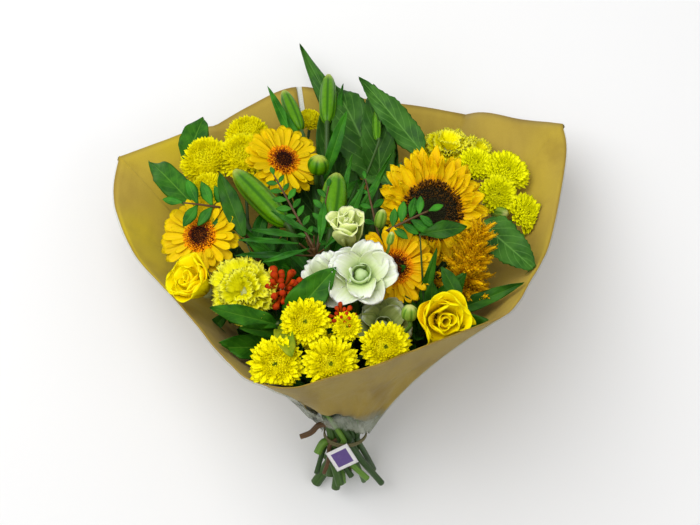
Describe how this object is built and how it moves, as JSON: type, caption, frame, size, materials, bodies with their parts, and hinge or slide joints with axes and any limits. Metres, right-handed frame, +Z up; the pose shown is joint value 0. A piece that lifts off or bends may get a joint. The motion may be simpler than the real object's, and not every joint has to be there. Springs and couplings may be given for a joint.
{
  "type": "mixed flower bouquet",
  "caption": "Hand-tied bouquet of yellow and white garden flowers with leaves and buds, lying on its back in brown paper and a clear film sleeve",
  "frame": {"origin": "middle of the bouquet in plan, on the surface that it lies on", "axes": "+Z up from that surface, the way the flower faces look, and the shortest extent; -Y towards the cut stem ends; +Y towards the back of the wrap's rim; +X to the right of the picture"},
  "size_m": [0.4748, 0.484, 0.3099],
  "materials": {
    "clear_film": "gloss",
    "kraft_paper": "matte",
    "tie_band": "matte",
    "sachet_film": "satin",
    "gerbera_petals": "satin",
    "gerbera_eye": "matte",
    "sunflower_petals": "satin",
    "sunflower_disc": "matte",
    "gerbera_green": "satin",
    "sunflower_green": "matte",
    "leaf_green": "satin",
    "chrysanthemum_green": "matte",
    "pompon_petals": "satin",
    "santini_petals": "satin",
    "chrysanthemum_petals": "satin",
    "carnation_green": "matte",
    "carnation_petals": "satin",
    "rose_green": "satin",
    "rose_petals": "satin",
    "lisianthus_green": "matte",
    "lisianthus_petals": "satin",
    "club_bud_green": "matte",
    "club_buds": "matte",
    "plume_green": "matte",
    "plume_florets": "matte",
    "lily_green": "satin",
    "ruscus_green": "satin",
    "feather_leaf": "satin"
  },
  "bodies": {
    "root": {"film_sleeve": "clear_film", "kraft_paper": "kraft_paper", "stem_tie": "tie_band", "gerbera_top_petals": "gerbera_petals", "gerbera_top_eye": "gerbera_eye", "gerbera_left_petals": "gerbera_petals", "gerbera_left_eye": "gerbera_eye", "gerbera_centre_petals": "gerbera_petals", "gerbera_centre_eye": "gerbera_eye", "sunflower_petals": "sunflower_petals", "sunflower_disc": "sunflower_disc", "pompon_a": "pompon_petals", "pompon_b": "pompon_petals", "pompon_c": "pompon_petals", "pompon_d": "pompon_petals", "pompon_e": "pompon_petals", "santini_a": "santini_petals", "santini_b": "santini_petals", "santini_c": "santini_petals", "santini_d": "santini_petals", "santini_e": "santini_petals", "santini_f": "santini_petals", "chrysanthemum_a": "chrysanthemum_petals", "chrysanthemum_b": "chrysanthemum_petals", "chrysanthemum_c": "chrysanthemum_petals", "chrysanthemum_d": "chrysanthemum_petals", "carnation_left": "carnation_petals", "carnation_right_a": "carnation_petals", "carnation_right_b": "carnation_petals", "rose_left": "rose_petals", "rose_right": "rose_petals", "lisianthus_centre": "lisianthus_petals", "lisianthus_half": "lisianthus_petals", "lisianthus_left": "lisianthus_petals", "lisianthus_low": "lisianthus_petals", "club_buds_left": "club_buds", "club_buds_front": "club_buds", "plume": "plume_florets", "sunflower_stem": "sunflower_green", "gerbera_top_stem": "gerbera_green", "gerbera_left_stem": "gerbera_green", "gerbera_centre_stem": "gerbera_green", "pompon_stem": "chrysanthemum_green", "santini_stem": "chrysanthemum_green", "chrysanthemum_stem": "chrysanthemum_green", "carnation_left_stem": "carnation_green", "carnation_right_stem": "carnation_green", "rose_left_stem": "rose_green", "rose_right_stem": "rose_green", "lisianthus_stem": "lisianthus_green", "club_buds_stem": "club_bud_green", "plume_stem": "plume_green", "lily_back_stem": "lily_green", "lily_front_stem": "lily_green", "sunflower_leaves_stem": "leaf_green", "ruscus_stem": "ruscus_green", "pistacia_left_stem": "feather_leaf", "pistacia_middle_stem": "feather_leaf", "pistacia_right_stem": "feather_leaf", "food_sachet": "sachet_film"}
  },
  "joints": []
}
